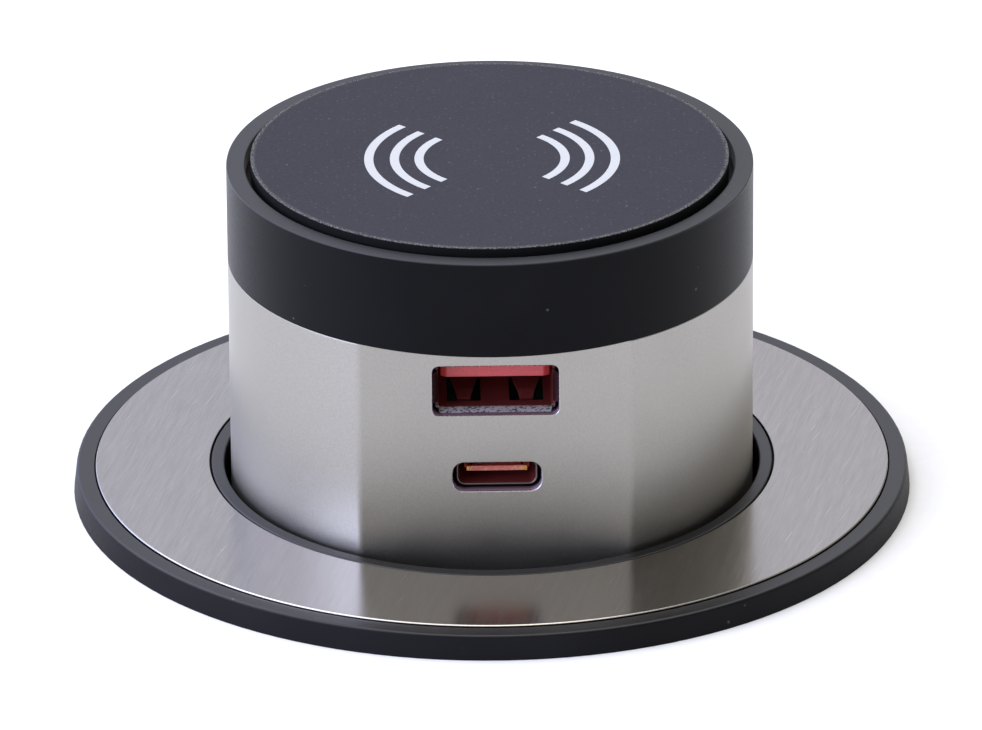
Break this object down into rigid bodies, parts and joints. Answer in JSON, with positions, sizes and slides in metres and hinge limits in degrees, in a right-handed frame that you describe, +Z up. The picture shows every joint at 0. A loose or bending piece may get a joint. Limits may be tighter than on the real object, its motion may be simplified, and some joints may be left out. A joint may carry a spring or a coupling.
{
  "type": "pop-up wireless charger",
  "caption": "Worktop charger whose spring-lifted tower carries a charging pad and USB sockets up through a flanged, nut-clamped sleeve.",
  "frame": {"origin": "on the tower's axis, in the plane where the flange rests on the worktop", "axes": "+Z up along the tower's travel, -Y out of the facet that holds the sockets, +X to the right when looking at that facet"},
  "size_m": [0.093, 0.093, 0.1085],
  "materials": {
    "black_moulding": "satin moulded, fine texture",
    "black_cap": "satin black, smooth",
    "soft_pad": "soft-touch, dark bluish grey",
    "silver_tube": "bead blasted, anodised",
    "brushed_trim": "linear brushed, reflective",
    "nut_moulding": "coarse moulded",
    "seal_rubber": "matt",
    "film": "adhesive film",
    "white_acetal": "natural acetal",
    "damper_moulding": "moulded",
    "spring_steel": "drawn wire and stamped plate",
    "screw_steel": "zinc plated",
    "copper": "enamelled copper",
    "ferrite": "matt sintered",
    "board_green": "solder mask",
    "chip_black": "epoxy",
    "capacitor": "cans and ceramic blocks",
    "connector": "moulded nylon",
    "ribbon": "polyimide film",
    "socket_metal": "stamped stainless",
    "tongue_red": "coloured moulding",
    "gold": "gold plated"
  },
  "bodies": {
    "housing": {"housing_sleeve": "black_moulding", "steel_trim_ring": "brushed_trim", "trim_adhesive": "film", "flange_seal": "seal_rubber", "guide_bush": "black_moulding", "bottom_cover": "black_moulding", "cover_screws": "screw_steel", "post_screws": "screw_steel", "cable_grommet": "seal_rubber", "damper_rack": "white_acetal", "latch_track": "black_moulding", "lift_spring": "spring_steel"},
    "tower": {"board_ribbon": "ribbon", "board_screws": "screw_steel", "cap_shell": "black_cap", "charger_board": "board_green", "charger_capacitors": "capacitor", "charger_chips": "chip_black", "charging_pad": "soft_pad", "coil_carrier": "damper_moulding", "coil_leads": "copper", "coil_winding": "copper", "damper_body": "damper_moulding", "damper_screws": "screw_steel", "ferrite_plate": "ferrite", "gland_nut": "damper_moulding", "latch_pivot": "spring_steel", "lead_gland": "damper_moulding", "pad_adhesive": "film", "port_board": "board_green", "port_capacitors": "capacitor", "port_chips": "chip_black", "power_socket": "connector", "ribbon_clips": "connector", "tie_screws": "screw_steel", "tower_base": "black_moulding", "tower_shell": "silver_tube", "usb_a_contacts": "gold", "usb_a_shell": "socket_metal", "usb_a_tongue": "tongue_red", "usb_c_contacts": "gold", "usb_c_shell": "socket_metal", "usb_c_tongue": "tongue_red"},
    "damper_gear": {"damper_pinion": "white_acetal"},
    "latch": {"latch_lever": "spring_steel"},
    "washer": {"clamp_washer": "black_moulding"},
    "nut": {"clamp_nut": "nut_moulding"}
  },
  "joints": [
    {"name": "tower_lift", "type": "slide", "parent": "housing", "child": "tower", "axis": [0, 0, 1], "range_m": [-0.03722, 0], "stiffness_N_per_m": 140, "springref_m": 0.055, "deforming": ["lift_spring"]},
    {"name": "damper_turn", "type": "hinge", "parent": "tower", "child": "damper_gear", "pos_m": [0, 0.0192, -0.0163], "axis": [1, 0, 0], "range_deg": [-5, 620]},
    {"name": "latch_swing", "type": "hinge", "parent": "tower", "child": "latch", "pos_m": [-0.0217, -0.0025, -0.0125], "axis": [1, 0, 0], "range_deg": [0, 30]},
    {"name": "washer_slide", "type": "slide", "parent": "housing", "child": "washer", "axis": [0, 0, 1], "range_m": [-0.0155, 0.0155]},
    {"name": "nut_turn", "type": "hinge", "parent": "washer", "child": "nut", "pos_m": [0, 0, -0.028], "axis": [0, 0, 1], "range_deg": [-1800, 1800]}
  ],
  "couplings": [
    {"joint": "damper_turn", "follows": "tower_lift", "rad_per_m": -277.78},
    {"joint": "washer_slide", "follows": "nut_turn", "m_per_rad": 0.00047746}
  ]
}
